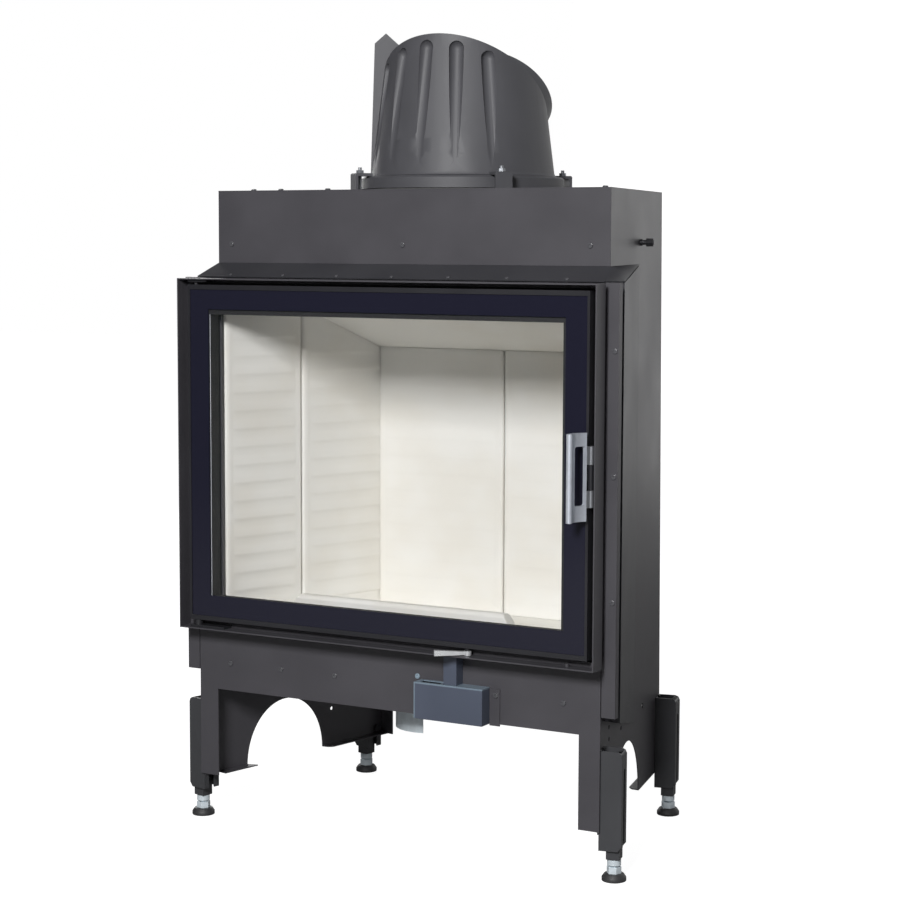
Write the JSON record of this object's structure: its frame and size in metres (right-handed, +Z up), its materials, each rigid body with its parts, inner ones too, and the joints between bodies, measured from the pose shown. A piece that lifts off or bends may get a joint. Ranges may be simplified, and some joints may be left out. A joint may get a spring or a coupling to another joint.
{
  "type": "fireplace insert",
  "caption": "Glazed fireplace insert: pale-lined steel firebox in a tapered casing on adjustable legs, with hinged door, air lever and turnable cast flue dome",
  "frame": {"origin": "on the floor, in the middle of the footprint", "axes": "+Z up, the door faces -Y, the door's handle is on +X"},
  "size_m": [0.83, 0.5372, 1.3463],
  "materials": {
    "casing_paint": "matt dark grey stove paint",
    "door_paint": "satin black stove paint",
    "pale_lining": "pale refractory board, shallow horizontal ripples",
    "cast_dome": "matt dark grey casting",
    "black_fasteners": "blackened steel",
    "zinc_steel": "zinc plated",
    "rope_seal": "dark woven rope",
    "door_glass": "clear ceramic glass with a black printed border",
    "handle_metal": "satin anodised",
    "bright_steel": "bright steel",
    "control_box": "satin blue-black paint",
    "leg_paint": "matt black paint",
    "foot_black": "black moulded foot"
  },
  "bodies": {
    "casing": {"side_panel_left": "casing_paint", "side_panel_right": "casing_paint", "back_panel": "casing_paint", "top_plate": "casing_paint", "upper_front_panel": "casing_paint", "roof_strip": "casing_paint", "corner_rail_left": "casing_paint", "corner_rail_right": "casing_paint", "side_jacket_left": "casing_paint", "side_jacket_right": "casing_paint", "base_front_panel": "casing_paint", "outer_frame": "casing_paint", "firebox_shell": "casing_paint", "front_side_lining_left": "pale_lining", "front_side_lining_right": "pale_lining", "rear_side_lining_left": "pale_lining", "rear_side_lining_right": "pale_lining", "back_lining_left": "pale_lining", "back_lining_right": "pale_lining", "hearth_slab": "pale_lining", "log_stop": "pale_lining", "baffle": "pale_lining", "dome_gasket": "rope_seal", "dome_clamps": "cast_dome", "clamp_studs": "zinc_steel", "hinge_brackets": "door_paint", "latch_keepers": "black_fasteners", "lever_pivot": "black_fasteners", "air_box": "control_box", "air_neck": "casing_paint", "air_spigot": "zinc_steel", "leg_bolts": "black_fasteners", "casing_screws": "black_fasteners", "side_stud": "black_fasteners"},
    "door": {"door_frame": "door_paint", "inner_door_frame": "door_paint", "door_glass": "door_glass", "door_gasket": "rope_seal", "handle_pin": "door_paint"},
    "handle": {"door_handle": "handle_metal", "latch_hooks": "zinc_steel"},
    "lever": {"air_lever": "bright_steel"},
    "damper": {"air_damper": "zinc_steel"},
    "dome": {"flue_dome": "cast_dome"},
    "front_leg_left": {"front_leg_channel_left": "leg_paint", "front_foot_socket_left": "leg_paint"},
    "front_foot_left": {"front_foot_spindle_left": "zinc_steel", "front_foot_disc_left": "foot_black"},
    "front_leg_right": {"front_leg_channel_right": "leg_paint", "front_foot_socket_right": "leg_paint"},
    "front_foot_right": {"front_foot_spindle_right": "zinc_steel", "front_foot_disc_right": "foot_black"},
    "rear_leg_left": {"rear_leg_channel_left": "leg_paint", "rear_foot_socket_left": "leg_paint"},
    "rear_foot_left": {"rear_foot_spindle_left": "zinc_steel", "rear_foot_disc_left": "foot_black"},
    "rear_leg_right": {"rear_leg_channel_right": "leg_paint", "rear_foot_socket_right": "leg_paint"},
    "rear_foot_right": {"rear_foot_spindle_right": "zinc_steel", "rear_foot_disc_right": "foot_black"}
  },
  "joints": [
    {"name": "door_hinge", "type": "hinge", "parent": "casing", "child": "door", "pos_m": [-0.36, -0.21463, 0.641], "axis": [0, 0, -1], "range_deg": [0, 110]},
    {"name": "handle_pivot", "type": "hinge", "parent": "door", "child": "handle", "pos_m": [0.3795, -0.22063, 0.642], "axis": [0, 0, 1], "range_deg": [0, 30]},
    {"name": "lever_pivot", "type": "hinge", "parent": "casing", "child": "lever", "pos_m": [0.162, -0.21263, 0.348], "axis": [0, 0, 1], "range_deg": [-30, 45]},
    {"name": "damper_shaft", "type": "hinge", "parent": "casing", "child": "damper", "pos_m": [0, -0.04364, 0.243], "axis": [1, 0, 0], "range_deg": [-36, 54]},
    {"name": "dome_turn", "type": "hinge", "parent": "casing", "child": "dome", "pos_m": [0, 0.05736, 1.1], "axis": [0, 0, 1], "continuous": true},
    {"name": "front_leg_left_height", "type": "slide", "parent": "casing", "child": "front_leg_left", "axis": [0, 0, -1], "range_m": [0, 0.085]},
    {"name": "front_foot_left_level", "type": "slide", "parent": "front_leg_left", "child": "front_foot_left", "axis": [0, 0, -1], "range_m": [0, 0.03]},
    {"name": "front_leg_right_height", "type": "slide", "parent": "casing", "child": "front_leg_right", "axis": [0, 0, -1], "range_m": [0, 0.085]},
    {"name": "front_foot_right_level", "type": "slide", "parent": "front_leg_right", "child": "front_foot_right", "axis": [0, 0, -1], "range_m": [0, 0.03]},
    {"name": "rear_leg_left_height", "type": "slide", "parent": "casing", "child": "rear_leg_left", "axis": [0, 0, -1], "range_m": [0, 0.085]},
    {"name": "rear_foot_left_level", "type": "slide", "parent": "rear_leg_left", "child": "rear_foot_left", "axis": [0, 0, -1], "range_m": [0, 0.03]},
    {"name": "rear_leg_right_height", "type": "slide", "parent": "casing", "child": "rear_leg_right", "axis": [0, 0, -1], "range_m": [0, 0.085]},
    {"name": "rear_foot_right_level", "type": "slide", "parent": "rear_leg_right", "child": "rear_foot_right", "axis": [0, 0, -1], "range_m": [0, 0.03]}
  ],
  "couplings": [
    {"joint": "damper_shaft", "follows": "lever_pivot", "ratio": 1.2}
  ]
}
